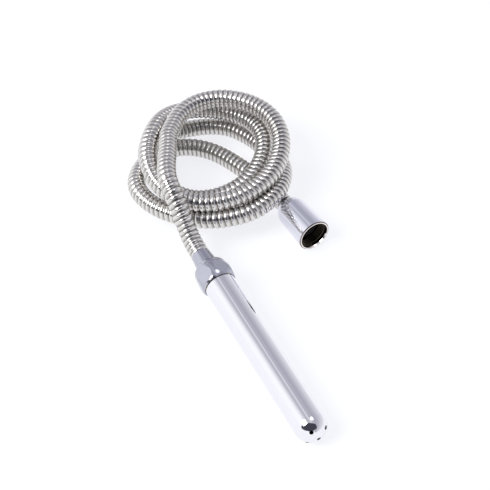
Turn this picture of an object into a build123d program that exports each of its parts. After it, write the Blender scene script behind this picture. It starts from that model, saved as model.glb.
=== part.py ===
from build123d import *
import os
from math import asin, atan2, cos, pi, radians, sin, tan

# Handheld bath sprayer: a chrome wand with a rose of five holes in its round
# nose, a turned hex nut, 1.2 m of metal hose lying in a loose coil, and a
# conical nut that screws onto the tap. Millimetres, +Z up, floor at Z = 0.
# The wand lies along X with its nose at +X.

# ---- driving sizes -------------------------------------------------------

THREAD_R = 10.45        # G1/2 pipe thread, crest radius of the male thread
THREAD_PITCH = 1.814    # 14 threads to the inch
TUBE_STEP = 0.55        # how far the wand's tube stands out over the thread
TUBE_WALL = 0.8
NOSE_REACH = 120.9      # from the nut's rim to the centre of the round nose
TUBE_END = 0.4          # rear end of the wand's tube, just clear of the nut's rim
SPRAY_HOLE_R = 1.35
SPRAY_RING_ANGLE = 43.0  # from the nose's pole to the ring of holes
SPRAY_RING_COUNT = 4
SPRAY_RING_ROLL = 33.3
SPIGOT_LENGTH = 10.0    # inlet's spigot inside the wand's tube
INLET_BORE_R = 7.0

NUT_LENGTH = 18.4
NUT_BELLY = 2.2         # how far the nut's belly stands out over the tube
NUT_FLAT = 1.15         # how far its six flats stand out over the tube
NUT_RIM = 0.6           # how far its rim stands out over the tube
NUT_ROLL = 18.8         # how far the first flat is turned from straight up
RIM_BORE_DEPTH = 2.0

CONE_RIM_WALL = 1.77    # conical nut's wall round the thread, at its mouth
CONE_END_WALL = 1.2     # its wall round the hose, at the small end
CONE_LENGTH = 36.0
CONE_TAPER = 1.0        # how much its radius falls from the mouth to the shoulder
CONE_SHOULDER = 8.0     # length of its rounded rear end
CONE_LIP = 3.0
CONE_BAND = 2.0         # straight band behind the mouth

HOSE_R = 7.0
ARMOUR_WALL = 0.85
LINER_WALL = 1.45
NECK_STEP = 1.0         # how far the ferrule's neck stands out over the hose
HOSE_START = -29.5      # where the armour starts behind each nut's rim
SKIRT_END = -36.0       # end of the ferrule's skirt inside the armour
STEM_END = -40.0        # end of the hose tail's stem inside the liner
STEM_WALL = 1.1
BARB_COUNT = 4
BARB_DEPTH = 0.4

SEAT_DEPTH = -15.0      # shoulder that the hose tail's flange is pulled by
FLANGE = 1.9            # thickness of the hose tail's flange
WASHER = 2.0
WASHER_BORE_R = 5.5
FLANGE_STEP = 0.55      # how far the flange stays inside the thread

# ---- clearances ----------------------------------------------------------

THREAD_CLEAR = 0.08     # female thread outside the male thread
END_FLOAT = 0.1         # along the axis, between pieces that part
RIM_CLEAR = 0.4         # nut's rim round the wand's tube
SEAT_CLEAR = 0.3        # washer and flange inside their seat
NECK_CLEAR = 0.35       # nuts round the ferrule's neck and the hose
PUSH_CLEAR = 0.05       # pieces pushed into each other
SPIGOT_CLEAR = 0.02
REST = 0.2              # hose above the floor
FLOOR_CLEAR = 0.05      # conical nut above the floor

# ---- sizes that follow ---------------------------------------------------

TUBE_R = THREAD_R + TUBE_STEP
TUBE_BORE_R = TUBE_R - TUBE_WALL
FEMALE_R = THREAD_R + THREAD_CLEAR
FLANGE_R = THREAD_R - FLANGE_STEP
SEAT_R = FLANGE_R + SEAT_CLEAR
ARMOUR_BORE_R = HOSE_R - ARMOUR_WALL
SKIRT_R = ARMOUR_BORE_R - PUSH_CLEAR
LINER_R = SKIRT_R - 0.3
FERRULE_BORE_R = LINER_R + PUSH_CLEAR
STEM_R = LINER_R - LINER_WALL - PUSH_CLEAR
STEM_BORE_R = STEM_R - STEM_WALL
NECK_R = HOSE_R + NECK_STEP
NECK_END_R = HOSE_R - 0.2
NECK_BORE_R = NECK_R + NECK_CLEAR
HOSE_PASS_R = HOSE_R + NECK_CLEAR
FLANGE_BACK = SEAT_DEPTH + END_FLOAT
FLANGE_FRONT = FLANGE_BACK + FLANGE
WASHER_FRONT = FLANGE_FRONT + WASHER
THREAD_END = WASHER_FRONT + END_FLOAT

# ---- places --------------------------------------------------------------
# The nose rests on the floor and the stiff hose holds the nut a little up.
# The part's origin is on the floor under the middle of the wand, from the
# nose to the end of the hose tail.

RIM_HEIGHT = 18.0
TILT = asin((RIM_HEIGHT - TUBE_R) / NOSE_REACH)
WAND_SPAN = (NOSE_REACH + STEM_END) * cos(TILT) + TUBE_R - LINER_R * sin(TILT)
RIM_X = -WAND_SPAN / 2

WAND_AXIS = Vector(cos(TILT), 0, -sin(TILT))
WAND_UP = Vector(sin(TILT), 0, cos(TILT))
WAND_RIM = Vector(RIM_X, 0, RIM_HEIGHT)
WAND_PLACE = Plane(origin=WAND_RIM, x_dir=WAND_UP, z_dir=WAND_AXIS)

# The conical nut lies on its side, so its axis rises towards its mouth.

CONE_RIM_R = FEMALE_R + CONE_RIM_WALL
CONE_END_R = HOSE_PASS_R + CONE_END_WALL
CONE_BACK_R = CONE_RIM_R - CONE_TAPER
CONE_SLOPE = atan2(CONE_TAPER, CONE_LENGTH - CONE_SHOULDER - CONE_BAND)
CONE_HEADING = radians(2.67)
CONE_RIM_HEIGHT = CONE_RIM_R * cos(CONE_SLOPE) + CONE_BAND * sin(CONE_SLOPE) + FLOOR_CLEAR
CONE_AXIS = Vector(cos(CONE_SLOPE) * cos(CONE_HEADING), cos(CONE_SLOPE) * sin(CONE_HEADING), sin(CONE_SLOPE))
CONE_RIM = Vector(RIM_X - 13.93, 82.74, CONE_RIM_HEIGHT)
CONE_PLACE = Plane(origin=CONE_RIM, x_dir=Vector(0, 1, 0), z_dir=CONE_AXIS)

# ---- the hose's route ----------------------------------------------------
# Points of the route are given from the floor under the wand nut's rim.
# The lead climbs from the wand's ferrule onto the coil, the coil winds down
# clockwise, and the tail crosses the floor inside it to the conical nut.

LIE = HOSE_R + REST
LEAD_POINTS = [(-48.8, 0, 24.6), (-60.3, 0, 35.2), (-72.8, 0.5, 43.2)]
LEAD_RUN = 10.0
TAIL_POINTS = [(-151.3, 35), (-145.3, 49.5), (-134.3, 60.5), (-119.3, 68), (-103.3, 73), (-88.3, 78.5)]

COIL_CENTRE = (-118.3, 50.0)
COIL_START = -90.0
STATION_STEP = -45.0
STATION_R = [32, 27.5, 35, 47.5, 55, 57, 63, 61.5, 49, 41, 49, 51.5, 47,
             41.5, 42, 42.5, 46.5, 47, 48, 49.5, 48.5, 60.5, 73, 63.5, 61, 44.5]
STATION_Z = [43, 41, 40.5, 39, 37.5, 34, 33, 29.5, 35, 38, 27, 21.5, 25,
             21.5, 18, 13, 20.5, 23, 8, 7.5, 7.5, 19.5, 23.5, 15.5, 13, 7.2]
STATIONS_PER_TURN = 8
COIL_TOP = 52.5
COIL_ROUND = 7.0

SEAT_WIDTH = 2 * HOSE_R + 2
SEAT_LENGTH = 34.0
CONE_SEAT_WIDTH = 2 * CONE_RIM_R + 2
INLET_RUN_START = -CONE_LENGTH - 10


def turned(*outline):
    """A turned piece: radius and height pairs, spun round the local Z."""
    return revolve(Plane.XZ * make_face(Polyline(*outline, close=True)), Axis.Z)


def from_rim(point):
    """A route point, moved from the wand nut's rim to the part's frame."""
    height = point[2] if len(point) == 3 else LIE
    return Vector(point[0] + RIM_X, point[1], height)


def turn_between(a, b, c):
    return (b - a).get_angle(c - b)


def corner_radii(points):
    """Arc radii that the two runs at each corner leave room for."""
    radii = []
    for a, b, c in zip(points, points[1:], points[2:]):
        run = min((b - a).length, (c - b).length)
        radii.append(0.45 * run / tan(radians(turn_between(a, b, c) / 2)))
    return radii


def hose_tube(name, points):
    """A plain tube of the hose's size along the route."""
    radii = corner_radii(points)
    path = FilletPolyline(*points, radius=radii) if radii else Line(*points)
    section = Plane(origin=points[0], z_dir=points[1] - points[0]) * Circle(HOSE_R)
    tube = sweep(section, path=path)
    full = pi * HOSE_R**2 * path.length
    print(name, "radii", [round(r, 1) for r in radii], "length", round(path.length, 1),
          "volume / section x length", round(tube.volume / full, 4))
    return tube


# ---- wand ----------------------------------------------------------------

def wand_tube():
    """Drawn tube with a round nose, pierced by a rose of spray holes."""
    nose = Pos(0, 0, NOSE_REACH)
    shell = turned((0, TUBE_END), (TUBE_R, TUBE_END), (TUBE_R, NOSE_REACH), (0, NOSE_REACH))
    shell += nose * Sphere(TUBE_R)
    shell -= turned((0, TUBE_END), (TUBE_BORE_R, TUBE_END), (TUBE_BORE_R, NOSE_REACH), (0, NOSE_REACH))
    shell -= nose * Sphere(TUBE_BORE_R)
    drill = Cylinder(SPRAY_HOLE_R, 2 * TUBE_R, align=(Align.CENTER, Align.CENTER, Align.MIN))
    shell -= nose * drill
    for k in range(SPRAY_RING_COUNT):
        roll = SPRAY_RING_ROLL + 360 / SPRAY_RING_COUNT * k
        shell -= nose * Rot(0, 0, roll) * Rot(0, SPRAY_RING_ANGLE, 0) * drill
    return shell


def wand_inlet():
    """Threaded inlet pressed into the wand's tube."""
    spigot_r = TUBE_BORE_R - SPIGOT_CLEAR
    return turned((INLET_BORE_R, THREAD_END), (THREAD_R - 0.6, THREAD_END), (THREAD_R, THREAD_END + 0.6),
                  (THREAD_R, TUBE_END), (spigot_r, TUBE_END), (spigot_r, SPIGOT_LENGTH),
                  (INLET_BORE_R, SPIGOT_LENGTH))


def hex_nut():
    """Turned nut with a round belly and six flats milled on it."""
    rim_r = TUBE_R + NUT_RIM
    belly_r = TUBE_R + NUT_BELLY
    flat_r = TUBE_R + NUT_FLAT
    belly_z = -0.38 * NUT_LENGTH
    waist = (flat_r - 0.2, -0.7 * NUT_LENGTH)
    tail_r = NECK_BORE_R + 0.4
    outline = ThreePointArc((rim_r, 0), (belly_r, belly_z), waist)
    outline += ThreePointArc(waist, (0.5 * (waist[0] + tail_r) + 0.75, -0.88 * NUT_LENGTH), (tail_r, -NUT_LENGTH))
    outline += Polyline((tail_r, -NUT_LENGTH), (0, -NUT_LENGTH), (0, 0), (rim_r, 0))
    blank = revolve(Plane.XZ * make_face(outline), Axis.Z)
    prism = RegularPolygon(flat_r, 6, major_radius=False, rotation=-30 - NUT_ROLL)
    blank &= extrude(prism, NUT_LENGTH, both=True)
    return blank - turned((0, 1), (TUBE_R + RIM_CLEAR, 1), (TUBE_R + RIM_CLEAR, -RIM_BORE_DEPTH),
                          (FEMALE_R, -RIM_BORE_DEPTH), (FEMALE_R, WASHER_FRONT), (SEAT_R, WASHER_FRONT),
                          (SEAT_R, SEAT_DEPTH), (NECK_BORE_R, SEAT_DEPTH), (NECK_BORE_R, -NUT_LENGTH - 1),
                          (0, -NUT_LENGTH - 1))


# ---- hose ends, the same at both ------------------------------------------

def washer():
    return turned((WASHER_BORE_R, FLANGE_FRONT), (FLANGE_R, FLANGE_FRONT), (FLANGE_R, WASHER_FRONT),
                  (WASHER_BORE_R, WASHER_FRONT))


def hose_tail():
    """Brass tail: a flange for the nut to pull on and a barbed stem."""
    stem_top = FLANGE_BACK - 1
    barb = (stem_top - STEM_END) / BARB_COUNT
    outline = [(STEM_BORE_R, FLANGE_FRONT), (FLANGE_R, FLANGE_FRONT), (FLANGE_R, FLANGE_BACK), (STEM_R, FLANGE_BACK)]
    for k in range(BARB_COUNT):
        outline.append((STEM_R, stem_top - k * barb))
        outline.append((STEM_R - BARB_DEPTH, stem_top - k * barb - 0.3))
        outline.append((STEM_R - BARB_DEPTH, stem_top - k * barb - 0.8))
    outline.append((STEM_R, stem_top - BARB_COUNT * barb + 2.5))
    outline.append((STEM_R - BARB_DEPTH, STEM_END))
    outline.append((STEM_BORE_R, STEM_END))
    return turned(*outline)


def ferrule():
    """Chrome neck, pressed over the liner, with its skirt in the armour."""
    return turned((FERRULE_BORE_R, FLANGE_BACK), (NECK_R, FLANGE_BACK), (NECK_R, -NUT_LENGTH),
                  (NECK_END_R, HOSE_START + END_FLOAT), (SKIRT_R, HOSE_START + END_FLOAT),
                  (SKIRT_R, SKIRT_END), (FERRULE_BORE_R, SKIRT_END))


def liner_end():
    """End of the hose's rubber liner, on the tail's stem."""
    return turned((STEM_R + PUSH_CLEAR, FLANGE_BACK - END_FLOAT), (LINER_R, FLANGE_BACK - END_FLOAT),
                  (LINER_R, STEM_END), (STEM_R + PUSH_CLEAR, STEM_END))


def hose_socket():
    """Room inside the armour's end for the skirt, liner and stem."""
    return turned((0, HOSE_START + 1), (ARMOUR_BORE_R, HOSE_START + 1), (ARMOUR_BORE_R, SKIRT_END - END_FLOAT),
                  (FERRULE_BORE_R, SKIRT_END - END_FLOAT), (FERRULE_BORE_R, STEM_END - END_FLOAT),
                  (0, STEM_END - END_FLOAT))


# ---- conical nut -----------------------------------------------------------

def cone_nut():
    """Turned, slightly conical nut that spins on the hose's far end."""
    shoulder = (CONE_BACK_R, CONE_SHOULDER - CONE_LENGTH)
    middle = (CONE_BACK_R - 0.26 * (CONE_BACK_R - CONE_END_R), 0.47 * CONE_SHOULDER - CONE_LENGTH)
    outline = Polyline((CONE_END_R, -CONE_LENGTH), (0, -CONE_LENGTH), (0, 0), (CONE_RIM_R - 0.5, 0),
                       (CONE_RIM_R, -0.5), (CONE_RIM_R, -CONE_BAND), shoulder)
    outline += ThreePointArc(shoulder, middle, (CONE_END_R, -CONE_LENGTH))
    blank = revolve(Plane.XZ * make_face(outline), Axis.Z)
    return blank - turned((0, 1), (FEMALE_R + 0.4, 1), (FEMALE_R + 0.4, 0), (FEMALE_R, -1), (FEMALE_R, WASHER_FRONT),
                          (SEAT_R, WASHER_FRONT), (SEAT_R, SEAT_DEPTH), (NECK_BORE_R, SEAT_DEPTH),
                          (NECK_BORE_R, CONE_LIP - CONE_LENGTH), (HOSE_PASS_R, CONE_LIP - CONE_LENGTH),
                          (HOSE_PASS_R, -CONE_LENGTH - 1), (0, -CONE_LENGTH - 1))


# ---- hose ------------------------------------------------------------------

def on_axis(rim, axis, reach):
    return rim + axis * reach


def lead_route():
    start = on_axis(WAND_RIM, WAND_AXIS, HOSE_START)
    return [start, start - WAND_AXIS * LEAD_RUN] + [from_rim(p) for p in LEAD_POINTS]


def tail_route():
    return [from_rim(p) for p in TAIL_POINTS]


def inlet_route():
    return [on_axis(CONE_RIM, CONE_AXIS, INLET_RUN_START), on_axis(CONE_RIM, CONE_AXIS, HOSE_START)]


def hose_coil_points():
    """Centre line of the coil's turns, two points to each station."""
    points = []
    last = len(STATION_R) - 1
    for k in range(2 * last + 1):
        i = k // 2
        around = [max(i - 1, 0), i, i + 1, min(i + 2, last)]
        if k % 2 == 0:
            radius, height = STATION_R[i], STATION_Z[i]
        else:
            radius = sum(w * STATION_R[j] for w, j in zip((-1, 9, 9, -1), around)) / 16
            height = sum(w * STATION_Z[j] for w, j in zip((-1, 9, 9, -1), around)) / 16
        angle = radians(COIL_START + STATION_STEP / 2 * k)
        x = COIL_CENTRE[0] + radius * cos(angle)
        y = COIL_CENTRE[1] + radius * sin(angle)
        points.append(from_rim((x, y, height)))
    return points


def coil_outline(reaches):
    """A closed curve round the coil's centre through one reach a station."""
    points = []
    for k, reach in enumerate(reaches):
        angle = radians(COIL_START + STATION_STEP * k)
        points.append(from_rim((COIL_CENTRE[0] + reach * cos(angle), COIL_CENTRE[1] + reach * sin(angle), 0)))
    return make_face(Spline(*points, periodic=True))


def seat(point, towards, width):
    """A square pocket with its flat end where a hose run meets the coil."""
    out = (towards - point).normalized()
    side = Vector(0, 0, 1).cross(out)
    place = Plane(origin=point, x_dir=side, z_dir=out)
    return place * Box(width, width, SEAT_LENGTH, align=(Align.CENTER, Align.CENTER, Align.MIN))


def hose_coil():
    """The loose coil's outer shape, open in the middle."""
    outer = [max(STATION_R[k::STATIONS_PER_TURN]) + HOSE_R for k in range(STATIONS_PER_TURN)]
    inner = [min(STATION_R[k::STATIONS_PER_TURN]) - HOSE_R for k in range(STATIONS_PER_TURN)]
    ring = extrude(coil_outline(outer) - coil_outline(inner), COIL_TOP)
    ring = fillet(ring.edges().group_by(Axis.Z)[-1], COIL_ROUND)
    lead, tail, inlet = lead_route(), tail_route(), inlet_route()
    ring -= seat(lead[-1], lead[-2], SEAT_WIDTH)
    ring -= seat(tail[0], tail[1], SEAT_WIDTH)
    ring -= seat(tail[-1], tail[-2], SEAT_WIDTH)
    ring -= seat(inlet[0], inlet[1], CONE_SEAT_WIDTH)
    return ring


# ---- the nodes -------------------------------------------------------------

nodes = {
    "wand_tube": WAND_PLACE * wand_tube(),
    "wand_inlet": WAND_PLACE * wand_inlet(),
    "hex_nut": WAND_PLACE * hex_nut(),
    "wand_washer": WAND_PLACE * washer(),
    "wand_tail": WAND_PLACE * hose_tail(),
    "wand_ferrule": WAND_PLACE * ferrule(),
    "wand_liner_end": WAND_PLACE * liner_end(),
    "hose_run_wand": hose_tube("hose_run_wand", lead_route()) - WAND_PLACE * hose_socket(),
    "hose_coil": hose_coil(),
    "hose_run_across": hose_tube("hose_run_across", tail_route()),
    "hose_run_inlet": hose_tube("hose_run_inlet", inlet_route()) - CONE_PLACE * hose_socket(),
    "inlet_liner_end": CONE_PLACE * liner_end(),
    "inlet_ferrule": CONE_PLACE * ferrule(),
    "inlet_tail": CONE_PLACE * hose_tail(),
    "inlet_washer": CONE_PLACE * washer(),
    "cone_nut": CONE_PLACE * cone_nut(),
}

os.makedirs("parts", exist_ok=True)
for name, shape in nodes.items():
    export_step(shape, f"parts/{name}.step")

coil = hose_coil_points()
print("coil radii", [round(r, 1) for r in corner_radii(coil)])
print("rim", WAND_RIM, "axis", WAND_AXIS, "cone rim", CONE_RIM, "cone axis", CONE_AXIS)
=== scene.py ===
from math import asin, cos, pi, radians, sin

import bmesh
import bpy
import numpy as np
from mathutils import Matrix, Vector


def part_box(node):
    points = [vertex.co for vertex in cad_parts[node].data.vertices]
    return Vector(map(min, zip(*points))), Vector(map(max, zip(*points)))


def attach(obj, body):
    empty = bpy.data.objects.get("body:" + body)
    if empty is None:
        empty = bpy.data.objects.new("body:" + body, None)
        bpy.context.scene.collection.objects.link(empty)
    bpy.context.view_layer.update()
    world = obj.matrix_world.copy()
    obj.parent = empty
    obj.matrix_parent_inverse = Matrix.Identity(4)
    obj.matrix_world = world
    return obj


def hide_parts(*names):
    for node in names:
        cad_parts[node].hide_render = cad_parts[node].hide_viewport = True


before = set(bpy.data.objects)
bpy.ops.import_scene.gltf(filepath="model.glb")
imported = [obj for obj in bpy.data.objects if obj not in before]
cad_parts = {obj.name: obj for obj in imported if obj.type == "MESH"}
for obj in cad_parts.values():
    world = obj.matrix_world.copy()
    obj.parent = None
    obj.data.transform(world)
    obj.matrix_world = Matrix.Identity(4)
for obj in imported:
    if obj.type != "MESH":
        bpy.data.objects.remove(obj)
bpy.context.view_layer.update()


def add_object(name, data):
    """A new object in the scene."""
    made = bpy.data.objects.new(name, data)
    bpy.context.collection.objects.link(made)
    return made


def add_mesh(name, bm):
    """Ends a bmesh as an object in the scene."""
    mesh = bpy.data.meshes.new(name)
    bm.to_mesh(mesh)
    bm.free()
    return add_object(name, mesh)


# ---- Camera ------------------------------------------------------------------
# A short telephoto looks down on the sprayer from beyond the wand's nose.
# Places are measured from the floor under the wand nut's rim.
MM = 0.001
CAMERA_AT = (0.41618, -0.20218, 0.55999)
CAMERA_AIM = (-0.03949, 0.04005, 0)
NOSE_REACH = 120.9 * MM
TUBE_R = 11.0 * MM
RIM_HEIGHT = 18.0 * MM
tilt = asin((RIM_HEIGHT - TUBE_R) / NOSE_REACH)
wand_axis = Vector((cos(tilt), 0, -sin(tilt)))
wand_rim = Vector((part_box("wand_tube")[1][0] - NOSE_REACH * cos(tilt) - TUBE_R, 0, RIM_HEIGHT))

camera_data = bpy.data.cameras.new("studio_camera")
camera_data.lens = 77.14
camera_data.sensor_width = 36
camera = add_object("studio_camera", camera_data)
camera.location = Vector((wand_rim.x + CAMERA_AT[0], *CAMERA_AT[1:]))
aim = Vector((wand_rim.x + CAMERA_AIM[0], *CAMERA_AIM[1:]))
camera.rotation_euler = (aim - camera.location).to_track_quat("-Z", "Y").to_euler()
bpy.context.scene.camera = camera

# ---- Hose --------------------------------------------------------------------
# 1.2 m of shower hose, 14 mm across: a steel strip wound in a spiral and
# hooked into its own last turn over a rubber liner, so that it bends. It lies
# in a loose coil, wound clockwise from the top, and ends in the conical nut.
# The places along the hose are in millimetres. CONE_RUN has how far behind the
# conical nut's rim a place is, and how far the hose sags below its axis there.
HOSE_R = 7.0 * MM
HOSE_START = 29.5 * MM
REST = 0.2 * MM
LIE = HOSE_R / MM + REST / MM
LEAD_POINTS = [(-48.8, 0, 24.6), (-60.3, 0, 35.2), (-72.8, 0.5, 43.2), (-88.0, 2.0, 46.5)]
LEAD_RUN = 10.0 * MM
TAIL_POINTS = [(-151.3, 35), (-145.3, 49.5), (-134.3, 60.5), (-119.3, 68), (-103.3, 73), (-88.3, 78.5)]
CONE_RUN = [(58.0 * MM, 3.0 * MM), (44.0 * MM, 0.8 * MM)]
COIL_CENTRE = (-118.3, 50.0)
COIL_START = -90.0
STATION_STEP = -45.0
MIDWAY_WEIGHTS = (-1, 9, 9, -1)
STATION_R = [32, 27.5, 35, 47.5, 55, 57, 63, 61.5, 49, 41, 49, 51.5, 47,
             41.5, 42, 42.5, 46.5, 47, 48, 49.5, 48.5, 60.5, 73, 63.5, 61, 44.5]
STATION_Z = [43, 41, 40.5, 39, 37.5, 34, 33, 29.5, 35, 38, 27, 21.5, 25,
             21.5, 18, 13, 20.5, 23, 8, 7.5, 7.5, 19.5, 23.5, 15.5, 13, 7.2]

cone_axis = Vector((0.998176, 0.046549, 0.038433)).normalized()
cone_rim = Vector((wand_rim.x - 13.93 * MM, 82.74 * MM, 12.418 * MM))


def from_rim(x, y, z=LIE):
    return Vector((wand_rim.x + x * MM, y * MM, z * MM))


def midway(values, around):
    """Halfway between the middle two of four stations, along a smooth curve."""
    return sum(w * values[j] for w, j in zip(MIDWAY_WEIGHTS, around)) / sum(MIDWAY_WEIGHTS)


def coil_points():
    """The coil's turns: a station every eighth of a turn and one between."""
    points = []
    last = len(STATION_R) - 1
    for k in range(2 * last + 1):
        i = k // 2
        around = [max(i - 1, 0), i, i + 1, min(i + 2, last)]
        if k % 2 == 0:
            radius, height = STATION_R[i], STATION_Z[i]
        else:
            radius, height = midway(STATION_R, around), midway(STATION_Z, around)
        angle = radians(COIL_START + STATION_STEP / 2 * k)
        points.append(from_rim(COIL_CENTRE[0] + radius * cos(angle),
                               COIL_CENTRE[1] + radius * sin(angle), height))
    return points


hose_exit = wand_rim - wand_axis * HOSE_START
route = [hose_exit, hose_exit - wand_axis * LEAD_RUN]
route += [from_rim(*p) for p in LEAD_POINTS]
route += coil_points()
route += [from_rim(*p) for p in TAIL_POINTS]
for back, sag in CONE_RUN:
    point = cone_rim - cone_axis * back
    route.append(Vector((point.x, point.y, max(point.z - sag, LIE * MM))))
route.append(cone_rim - cone_axis * HOSE_START)


def line_of(points, name):
    """Points along the NURBS spline that has these control points."""
    data = bpy.data.curves.new(name, "CURVE")
    data.dimensions = "3D"
    spline = data.splines.new("NURBS")
    spline.points.add(len(points) - 1)
    for place, point in zip(spline.points, points):
        place.co = (*point, 1)
    spline.order_u = 3
    spline.use_endpoint_u = True
    spline.resolution_u = 16
    holder = bpy.data.objects.new(name, data)
    mesh = bpy.data.meshes.new_from_object(holder)
    line = [v.co.copy() for v in mesh.vertices]
    bpy.data.objects.remove(holder)
    bpy.data.meshes.remove(mesh)
    return line


SAME_PLACE = 1e-7


def frames_along(line):
    """Lengths along a line, its points, and two directions across it that never twist."""
    points = np.array([tuple(p) for p in line])
    steps = np.linalg.norm(np.diff(points, axis=0), axis=1)
    keep = np.concatenate([[True], steps > SAME_PLACE])
    points = points[keep]
    steps = np.linalg.norm(np.diff(points, axis=0), axis=1)
    reach = np.concatenate([[0], np.cumsum(steps)])
    ahead = np.gradient(points, reach, axis=0)
    ahead /= np.linalg.norm(ahead, axis=1)[:, None]
    across = np.zeros_like(ahead)
    side = np.array([0.0, 1.0, 0.0])
    for k, way in enumerate(ahead):
        side = side - way * side.dot(way)
        side /= np.linalg.norm(side)
        across[k] = side
    return reach, points, ahead, across


def bend_along(bm, line):
    """Lays a straight piece, built along Z from the origin, along a line."""
    reach, points, ahead, across = frames_along(line)
    bm.verts.ensure_lookup_table()
    flat = np.array([tuple(v.co) for v in bm.verts])
    where = np.clip(flat[:, 2], 0, reach[-1])

    def there(values):
        return np.stack([np.interp(where, reach, values[:, k]) for k in range(3)], 1)

    place = there(points)
    way = there(ahead)
    way /= np.linalg.norm(way, axis=1)[:, None]
    side = there(across)
    side -= way * (side * way).sum(1)[:, None]
    side /= np.linalg.norm(side, axis=1)[:, None]
    up = np.cross(way, side)
    over = (flat[:, 2] - where)[:, None]
    bent = place + side * flat[:, :1] + up * flat[:, 1:2] + way * over
    for vert, spot in zip(bm.verts, bent):
        vert.co = spot


# The strip's section is a share of one turn and a radius in millimetres.
STRIP_PITCH = 4.0 * MM
STRIP_STEPS = 24
STRIP_PROFILE = [(0.0, 6.18), (0.05, 6.32), (0.15, 6.42), (0.26, 6.40), (0.34, 6.54),
                 (0.42, 6.80), (0.52, 6.95), (0.64, 7.0), (0.76, 6.95), (0.86, 6.80),
                 (0.93, 6.54), (0.98, 6.30), (1.0, 6.18)]
GROOVE_DEPTH = 0.82 * MM
ARMOUR_BORE_R = 6.15 * MM
MERGE_GAP = 0.01 * MM
CUT_SLACK = 1e-6
AT_CUT = 1e-5


def all_of(bm):
    return bm.verts[:] + bm.edges[:] + bm.faces[:]


def verts_in(geom):
    return [g for g in geom if isinstance(g, bmesh.types.BMVert)]


def wind(bm, section, ring, turns, pitch, steps):
    """Spins a section round Z, rising by one pitch in each turn."""
    edges = [bm.edges.new(pair) for pair in zip(section, ring)]
    bmesh.ops.spin(bm, geom=section + edges, cent=(0, 0, 0), axis=(0, 0, 1), angle=2 * pi * turns,
                   dvec=(0, 0, pitch / steps), steps=steps * turns, use_merge=pitch == 0)


hose_line = line_of(route, "hose_route")
hose_length = sum((b - a).length for a, b in zip(hose_line, hose_line[1:]))
bm = bmesh.new()
strip = [bm.verts.new((r * MM, 0, (share - 1) * STRIP_PITCH)) for share, r in STRIP_PROFILE]
wind(bm, strip, strip[1:], 1, STRIP_PITCH, STRIP_STEPS)
turns = 1      # doubled until the turns reach past the hose's end
while turns * STRIP_PITCH < hose_length + 2 * STRIP_PITCH:
    made = bmesh.ops.duplicate(bm, geom=all_of(bm))["geom"]
    bmesh.ops.translate(bm, vec=(0, 0, turns * STRIP_PITCH), verts=verts_in(made))
    turns *= 2
bmesh.ops.remove_doubles(bm, verts=bm.verts, dist=MERGE_GAP)
for height, way in ((0, -1), (hose_length, 1)):
    bmesh.ops.bisect_plane(bm, geom=all_of(bm), dist=CUT_SLACK,
                           plane_co=(0, 0, height), plane_no=(0, 0, way), clear_outer=True)
for height in (0, hose_length):
    rim = [e for e in bm.edges if e.is_boundary
           and all(abs(v.co.z - height) < AT_CUT for v in e.verts)]
    made = bmesh.ops.extrude_edge_only(bm, edges=rim)["geom"]
    for v in verts_in(made):
        shrink = ARMOUR_BORE_R / Vector((v.co.x, v.co.y)).length
        v.co.x *= shrink
        v.co.y *= shrink
bmesh.ops.recalc_face_normals(bm, faces=bm.faces)
unbent = bm.verts.layers.float_vector.new("unbent")
# This layer holds each point's depth into the groove, which the steel's colour turns into painted
# shade.
groove_shade_depth = bm.verts.layers.float.new("groove_shade")
for v in bm.verts:
    v[unbent] = v.co
    v[groove_shade_depth] = (HOSE_R - Vector((v.co.x, v.co.y)).length) / GROOVE_DEPTH
bend_along(bm, hose_line)
for face in bm.faces:
    face.smooth = True
hose = add_mesh("hose", bm)


def new_material(name):
    """A material with its Principled shader, its nodes and a linker."""
    material = bpy.data.materials.new(name)
    material.use_nodes = True
    nodes = material.node_tree.nodes
    shader = nodes["Principled BSDF"]
    return material, nodes, shader, material.node_tree.links.new


def strip_steel():
    """Bright strip steel, brushed round the hose, with painted shade: darker on the low band and
    nearly black in the crevice where the turns lap.
    """
    material, nodes, shader, link = new_material("hose_strip_steel_painted_shade")
    shader.inputs["Metallic"].default_value = 1.0
    flat = nodes.new("ShaderNodeAttribute")
    flat.attribute_name = "unbent"
    drawn = nodes.new("ShaderNodeMapping")
    drawn.inputs["Scale"].default_value = (300, 300, 3500)
    link(flat.outputs["Vector"], drawn.inputs["Vector"])
    brush = nodes.new("ShaderNodeTexNoise")
    brush.inputs["Scale"].default_value = 1.0
    brush.inputs["Detail"].default_value = 3
    link(drawn.outputs["Vector"], brush.inputs["Vector"])
    shine = nodes.new("ShaderNodeMapRange")
    shine.inputs["To Min"].default_value = 0.12
    shine.inputs["To Max"].default_value = 0.26
    link(brush.outputs["Fac"], shine.inputs["Value"])
    link(shine.outputs["Result"], shader.inputs["Roughness"])
    # Painted shade: the steel's colour darkens with depth into the groove, to near black in the
    # crevice between turns.
    groove_shade = nodes.new("ShaderNodeAttribute")
    groove_shade.attribute_name = "groove_shade"
    tone = nodes.new("ShaderNodeValToRGB")
    tone.color_ramp.elements[0].position = 0.25
    tone.color_ramp.elements[0].color = (0.72, 0.705, 0.685, 1)
    tone.color_ramp.elements[1].position = 0.98
    tone.color_ramp.elements[1].color = (0.05, 0.045, 0.042, 1)
    valley_shade = tone.color_ramp.elements.new(0.70)
    valley_shade.color = (0.50, 0.475, 0.45, 1)
    link(groove_shade.outputs["Fac"], tone.inputs["Fac"])
    link(tone.outputs["Color"], shader.inputs["Base Color"])
    bump = nodes.new("ShaderNodeBump")
    bump.inputs["Strength"].default_value = 0.06
    bump.inputs["Distance"].default_value = 0.05 * MM
    link(brush.outputs["Fac"], bump.inputs["Height"])
    link(bump.outputs["Normal"], shader.inputs["Normal"])
    return material


hose.data.materials.append(strip_steel())
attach(hose, "hose")
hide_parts("hose_run_wand", "hose_coil", "hose_run_across", "hose_run_inlet")


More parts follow.
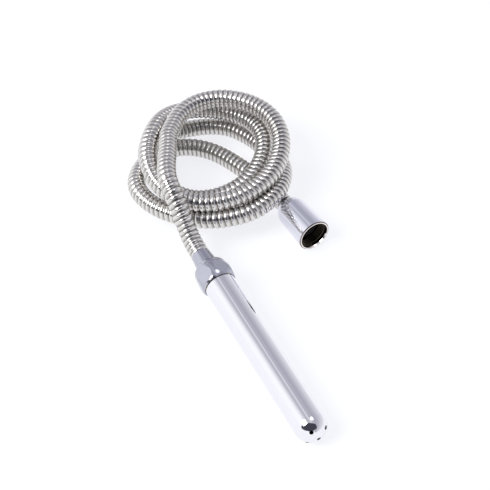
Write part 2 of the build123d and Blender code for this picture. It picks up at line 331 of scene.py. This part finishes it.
# ---- Chrome: wand, nuts and ferrules ------------------------------------------
# The wand is a drawn tube with a round nose. The nuts and the ferrules are
# turned brass. All are polished and plated, with faint rub marks.
RUB_MARKS = (0.35, 0.75)
RUB_ROUGHER = 2.2


def chrome(name, tint, rough, smudge_scale):
    """Polished plating, up to RUB_ROUGHER times as rough where it is rubbed."""
    material, nodes, shader, link = new_material(name)
    shader.inputs["Metallic"].default_value = 1.0
    shader.inputs["Base Color"].default_value = (*tint, 1)
    place = nodes.new("ShaderNodeTexCoord")
    smudge = nodes.new("ShaderNodeTexNoise")
    smudge.inputs["Scale"].default_value = smudge_scale
    smudge.inputs["Detail"].default_value = 4
    link(place.outputs["Object"], smudge.inputs["Vector"])
    shine = nodes.new("ShaderNodeMapRange")
    shine.inputs["From Min"].default_value, shine.inputs["From Max"].default_value = RUB_MARKS
    shine.inputs["To Min"].default_value = rough
    shine.inputs["To Max"].default_value = rough * RUB_ROUGHER
    link(smudge.outputs["Fac"], shine.inputs["Value"])
    link(shine.outputs["Result"], shader.inputs["Roughness"])
    return material


wand_chrome = chrome("wand_chrome", (0.85, 0.85, 0.89), 0.045, 60)
# Painted shade: the hex nut, the ferrules and the conical nut get darker, bluer copies of the wand's
# plating, standing for the dimmer surroundings they reflect.
nut_chrome_painted_shade = chrome("nut_chrome_painted_shade", (0.49, 0.495, 0.565), 0.11, 140)
cone_chrome_painted_shade = chrome("cone_chrome_painted_shade", (0.76, 0.765, 0.84), 0.09, 140)


def dress(node, material):
    """A CAD piece keeps its mesh and takes a finished material."""
    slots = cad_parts[node].data.materials
    if len(slots) == 0:
        slots.append(material)
    for k in range(len(slots)):
        slots[k] = material


# Each edge of the mouth's colours fades from one radius, or height along the
# nut's axis, to the next.
BORE_EDGE, BORE_END = (11.0 * MM, 10.94 * MM), (-20.0 * MM, -19.0 * MM)
LIP_EDGE, LIP_END = (11.55 * MM, 11.5 * MM), (-1.3 * MM, -1.1 * MM)
FACE_EDGE, FACE_END = (11.5 * MM, 11.55 * MM), (-0.6 * MM, -0.5 * MM)
# Painted shade, near black, in the bore and on the end face; the lip inside the mouth is bare metal,
# painted brighter than brass as a highlight.
BORE_SHADE_TONE = (0.02, 0.018, 0.017, 1)
LIP_HIGHLIGHT_TONE = (1.0, 0.93, 0.88, 1)
FACE_SHADE_TONE = (0.22, 0.19, 0.19, 1)


def paint_mouth_shade_and_highlight(material):
    """Plating stops at the mouth, at a bare brass lip painted brighter as a highlight; painted shade
    darkens the end face and, near black, the bore behind the lip.
    """
    nodes, link = material.node_tree.nodes, material.node_tree.links.new
    shader = nodes["Principled BSDF"]
    turn = cone_axis.rotation_difference(Vector((0, 0, 1)))
    place = nodes.new("ShaderNodeTexCoord")
    spot = nodes.new("ShaderNodeMapping")
    spot.inputs["Rotation"].default_value = turn.to_euler()
    spot.inputs["Location"].default_value = -(turn @ cone_rim)
    link(place.outputs["Object"], spot.inputs["Vector"])
    parts = nodes.new("ShaderNodeSeparateXYZ")
    link(spot.outputs["Vector"], parts.inputs["Vector"])
    flat = nodes.new("ShaderNodeVectorMath")
    flat.operation = "MULTIPLY"
    flat.inputs[1].default_value = (1, 1, 0)
    link(spot.outputs["Vector"], flat.inputs[0])
    radius = nodes.new("ShaderNodeVectorMath")
    radius.operation = "LENGTH"
    link(flat.outputs["Vector"], radius.inputs[0])

    def between(socket, ends):
        step = nodes.new("ShaderNodeMapRange")
        step.inputs["From Min"].default_value, step.inputs["From Max"].default_value = ends
        link(socket, step.inputs["Value"])
        return step.outputs["Result"]

    def within(edge, end):
        product = nodes.new("ShaderNodeMath")
        product.operation = "MULTIPLY"
        link(between(radius.outputs["Value"], edge), product.inputs[0])
        link(between(parts.outputs["Z"], end), product.inputs[1])
        return product.outputs["Value"]

    colour = shader.inputs["Base Color"].default_value[:]
    last = None
    # The masks lay painted shade on the end face and in the bore, then the lip's painted highlight.
    for mask, tone in ((within(FACE_EDGE, FACE_END), FACE_SHADE_TONE),
                       (within(BORE_EDGE, BORE_END), BORE_SHADE_TONE),
                       (within(LIP_EDGE, LIP_END), LIP_HIGHLIGHT_TONE)):
        mix = nodes.new("ShaderNodeMix")
        mix.data_type = "RGBA"
        mix.inputs["A"].default_value = colour
        mix.inputs["B"].default_value = tone
        link(mask, mix.inputs["Factor"])
        if last:
            link(last, mix.inputs["A"])
        last = mix.outputs["Result"]
    link(last, shader.inputs["Base Color"])


paint_mouth_shade_and_highlight(cone_chrome_painted_shade)
dress("wand_tube", wand_chrome)
dress("cone_nut", cone_chrome_painted_shade)
for node in ("hex_nut", "wand_ferrule", "inlet_ferrule"):
    dress(node, nut_chrome_painted_shade)


# ---- Tails and the wand's inlet ------------------------------------------------
# Turned brass: the barbed tails hold the liner, and the inlet is pressed into the wand's tube.
# The wand's tail and inlet are left bright; the inlet tail, deep in the conical nut, is
# painted near black as shade.
def turned_brass(name, dark, bright):
    material, nodes, shader, link = new_material(name)
    shader.inputs["Metallic"].default_value = 1.0
    place = nodes.new("ShaderNodeTexCoord")
    marks = nodes.new("ShaderNodeTexNoise")
    marks.inputs["Scale"].default_value = 400
    marks.inputs["Detail"].default_value = 3
    link(place.outputs["Object"], marks.inputs["Vector"])
    tone = nodes.new("ShaderNodeValToRGB")
    tone.color_ramp.elements[0].color = (*dark, 1)
    tone.color_ramp.elements[1].color = (*bright, 1)
    link(marks.outputs["Fac"], tone.inputs["Fac"])
    link(tone.outputs["Color"], shader.inputs["Base Color"])
    shader.inputs["Roughness"].default_value = 0.28
    return material


brass = turned_brass("turned_brass", (0.52, 0.36, 0.14), (0.80, 0.62, 0.32))
# Painted shade: brass darkened to near black for the pieces inside the conical nut.
brass_in_painted_shade = turned_brass("brass_in_painted_shade", (0.018, 0.015, 0.012), (0.045, 0.036, 0.026))
dress("wand_tail", brass)
dress("inlet_tail", brass_in_painted_shade)


# ---- Threads ---------------------------------------------------------------------
# The G1/2 threads, cut in brass: four turns inside the conical nut, painted near black as
# shade, and five bright turns on the wand's inlet, which show when the hex nut is undone.
THREAD_PITCH = 1.814 * MM
THREAD_STEPS = 64
FEMALE_R = 10.53 * MM
FEMALE_CREST_R = 9.6 * MM
MALE_R = 10.45 * MM
MALE_ROOT_R = 9.35 * MM
ROOT_OVERLAP = 0.05 * MM
INLET_BORE_R = 7.0 * MM
SPIGOT_R = 10.18 * MM
INLET_END, INLET_SHOULDER, INLET_TIP = -10.9 * MM, 0.4 * MM, 10.0 * MM
FEMALE_START, FEMALE_TURNS = -9.6 * MM, 4
MALE_START, MALE_TURNS = -9.9 * MM, 5
RIDGE_FOOT = 0.46      # half widths of a ridge, as a share of the pitch
RIDGE_TOP = 0.1


def add_ridge(bm, root, crest, start, turns):
    """A thread's ridge, wound round Z from a four-sided section."""
    section = [bm.verts.new((r, 0, start + share * THREAD_PITCH)) for r, share in
               ((root, -RIDGE_FOOT), (crest, -RIDGE_TOP), (crest, RIDGE_TOP), (root, RIDGE_FOOT))]
    wind(bm, section, section[1:] + section[:1], turns, THREAD_PITCH, THREAD_STEPS)
    bmesh.ops.holes_fill(bm, edges=[e for e in bm.edges if e.is_boundary], sides=4)


def set_on_axis(bm, name, axis, rim, material):
    """Turns a piece built along Z onto a nut's axis and makes its object."""
    bmesh.ops.recalc_face_normals(bm, faces=bm.faces)
    turn = Vector((0, 0, 1)).rotation_difference(axis)
    bmesh.ops.rotate(bm, cent=(0, 0, 0), matrix=turn.to_matrix(), verts=bm.verts)
    bmesh.ops.translate(bm, vec=rim, verts=bm.verts)
    piece = add_mesh(name, bm)
    piece.data.materials.append(material)
    return piece


bm = bmesh.new()
add_ridge(bm, FEMALE_R + ROOT_OVERLAP, FEMALE_CREST_R, FEMALE_START, FEMALE_TURNS)
tap_thread = set_on_axis(bm, "tap_thread", cone_axis, cone_rim, brass_in_painted_shade)
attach(tap_thread, "tap_nut")

bm = bmesh.new()
outline = [bm.verts.new((r, 0, z)) for r, z in
           ((INLET_BORE_R, INLET_END), (MALE_ROOT_R, INLET_END), (MALE_ROOT_R, INLET_SHOULDER),
            (SPIGOT_R, INLET_SHOULDER), (SPIGOT_R, INLET_TIP), (INLET_BORE_R, INLET_TIP))]
wind(bm, outline, outline[1:] + outline[:1], 1, 0, THREAD_STEPS)
add_ridge(bm, MALE_ROOT_R - ROOT_OVERLAP, MALE_R, MALE_START, MALE_TURNS)
inlet = set_on_axis(bm, "wand_inlet_threaded", wand_axis, wand_rim, brass)
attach(inlet, "wand")
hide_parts("wand_inlet")


# ---- Washers and the liner -----------------------------------------------------
# Flat rubber washers seal both nuts, and a rubber liner carries the water
# inside the hose. Both are matt and nearly black.
def rubber():
    material, nodes, shader, link = new_material("seal_rubber")
    shader.inputs["Roughness"].default_value = 0.7
    place = nodes.new("ShaderNodeTexCoord")
    grain = nodes.new("ShaderNodeTexNoise")
    grain.inputs["Scale"].default_value = 1800
    link(place.outputs["Object"], grain.inputs["Vector"])
    tone = nodes.new("ShaderNodeValToRGB")
    tone.color_ramp.elements[0].color = (0.012, 0.012, 0.014, 1)
    tone.color_ramp.elements[1].color = (0.035, 0.034, 0.036, 1)
    link(grain.outputs["Fac"], tone.inputs["Fac"])
    link(tone.outputs["Color"], shader.inputs["Base Color"])
    bump = nodes.new("ShaderNodeBump")
    bump.inputs["Strength"].default_value = 0.2
    bump.inputs["Distance"].default_value = 0.05 * MM
    link(grain.outputs["Fac"], bump.inputs["Height"])
    link(bump.outputs["Normal"], shader.inputs["Normal"])
    return material


seal = rubber()
for node in ("wand_washer", "inlet_washer", "wand_liner_end", "inlet_liner_end"):
    dress(node, seal)

# ---- Floor and light -----------------------------------------------------------
# A white studio table under soft light from all round, brighter from the left.
FLOOR_HALF = 3
KEY_AT = Vector((-0.1, -1.4, 1.5))
KEY_AIM = Vector((-0.08, 0.03, 0))
KEY_SIDE = 1.0
KEY_POWER = 26

bm = bmesh.new()
bmesh.ops.create_grid(bm, x_segments=1, y_segments=1, size=FLOOR_HALF)
floor = add_mesh("studio_floor", bm)
paper, nodes, shader, link = new_material("studio_paper")
shader.inputs["Base Color"].default_value = (0.27, 0.27, 0.25, 1)
shader.inputs["Emission Color"].default_value = (0.765, 0.77, 0.81, 1)
shader.inputs["Emission Strength"].default_value = 1.0
shader.inputs["Roughness"].default_value = 0.9
shader.inputs["Specular IOR Level"].default_value = 0.1
floor.data.materials.append(paper)

key_data = bpy.data.lights.new("key", "AREA")
key_data.shape = "RECTANGLE"
key_data.size = key_data.size_y = KEY_SIDE
key_data.energy = KEY_POWER
key = add_object("key", key_data)
key.location = KEY_AT
key.rotation_euler = (KEY_AIM - KEY_AT).to_track_quat("-Z", "Y").to_euler()

# The room round the table: a white wall on the left, a dimmer ceiling with a
# thin tube light and a small lamp, a lighter wall on the right, and the dark
# camera stand. The room's tones go by the angle from straight up, in degrees,
# positive to the right.
ROOM_TONES = [(-180, 1.0), (-92, 1.0), (-80, 1.12), (-52, 1.15), (-36, 0.95),
              (-20, 0.58), (-11, 0.56), (-8, 0.62), (-5, 1.05), (-2, 0.62),
              (8, 0.52), (28, 0.46), (50, 0.60), (84, 0.86), (180, 0.9)]
STAND_MIDDLE = (-0.11, -0.11)
STAND_HALF = (0.80, 0.46)
STAND_FADE = (1.0, 0.92)
STAND_TONE = 0.07
STAND_TINT = (0.85, 0.9, 1.2)
LAMP_WAY = Vector((-0.03, 0.2, 0.98)).normalized()
LAMP_FADE = (0.980, 0.988)
LAMP_TONE = 2.6


def room_colour(tone):
    """The room's light is slightly blue, and bluer where it is dim."""
    return 0.985 * tone, 0.985 * tone, 1.02 * tone + 0.10 * max(0, 1 - tone), 1


def studio_room():
    """Light from all round, in stripes that the chrome shows."""
    world = bpy.data.worlds.new("studio_room")
    world.use_nodes = True
    nodes = world.node_tree.nodes
    link = world.node_tree.links.new
    air = nodes["Background"]
    way = nodes.new("ShaderNodeTexCoord")
    parts = nodes.new("ShaderNodeSeparateXYZ")
    link(way.outputs["Generated"], parts.inputs["Vector"])
    lean = nodes.new("ShaderNodeMath")
    lean.operation = "ARCTAN2"
    link(parts.outputs["Y"], lean.inputs[0])
    link(parts.outputs["Z"], lean.inputs[1])
    share = nodes.new("ShaderNodeMapRange")
    share.inputs["From Min"].default_value = -pi
    share.inputs["From Max"].default_value = pi
    link(lean.outputs["Value"], share.inputs["Value"])
    tones = nodes.new("ShaderNodeValToRGB")
    ramp = tones.color_ramp
    while len(ramp.elements) < len(ROOM_TONES):
        ramp.elements.new(0.5)
    for stop, (degrees, tone) in zip(ramp.elements, ROOM_TONES):
        stop.position = (degrees + 180) / 360
        stop.color = room_colour(tone)
    link(share.outputs["Result"], tones.inputs["Fac"])
    to_camera = (camera.location - wand_rim).normalized()
    right = Vector((0, 0, 1)).cross(to_camera).normalized()
    reach = []
    for across, middle_at, half in ((right, STAND_MIDDLE[0], STAND_HALF[0]),
                                    (to_camera.cross(right), STAND_MIDDLE[1], STAND_HALF[1])):
        along = nodes.new("ShaderNodeVectorMath")
        along.operation = "DOT_PRODUCT"
        along.inputs[1].default_value = across / half
        link(way.outputs["Generated"], along.inputs[0])
        shift = nodes.new("ShaderNodeMath")
        shift.operation = "SUBTRACT"
        shift.inputs[1].default_value = middle_at / half
        link(along.outputs["Value"], shift.inputs[0])
        reach.append(shift.outputs["Value"])
    pair = nodes.new("ShaderNodeCombineXYZ")
    link(reach[0], pair.inputs["X"])
    link(reach[1], pair.inputs["Y"])
    stand = nodes.new("ShaderNodeVectorMath")
    stand.operation = "LENGTH"
    link(pair.outputs["Vector"], stand.inputs[0])
    edge = nodes.new("ShaderNodeMapRange")
    edge.inputs["From Min"].default_value, edge.inputs["From Max"].default_value = STAND_FADE
    link(stand.outputs["Value"], edge.inputs["Value"])
    mix = nodes.new("ShaderNodeMix")
    mix.data_type = "RGBA"
    mix.inputs["B"].default_value = (*(STAND_TONE * tint for tint in STAND_TINT), 1)
    link(edge.outputs["Result"], mix.inputs["Factor"])
    link(tones.outputs["Color"], mix.inputs["A"])
    lamp = nodes.new("ShaderNodeVectorMath")
    lamp.operation = "DOT_PRODUCT"
    lamp.inputs[1].default_value = LAMP_WAY
    link(way.outputs["Generated"], lamp.inputs[0])
    glow = nodes.new("ShaderNodeMapRange")
    glow.inputs["From Min"].default_value, glow.inputs["From Max"].default_value = LAMP_FADE
    link(lamp.outputs["Value"], glow.inputs["Value"])
    lit = nodes.new("ShaderNodeMix")
    lit.data_type = "RGBA"
    lit.inputs["B"].default_value = (LAMP_TONE, LAMP_TONE, LAMP_TONE, 1)
    link(glow.outputs["Result"], lit.inputs["Factor"])
    link(mix.outputs["Result"], lit.inputs["A"])
    link(lit.outputs["Result"], air.inputs["Color"])
    air.inputs["Strength"].default_value = 1.0
    return world


bpy.context.scene.world = studio_room()
bpy.context.scene.view_settings.view_transform = "Standard"
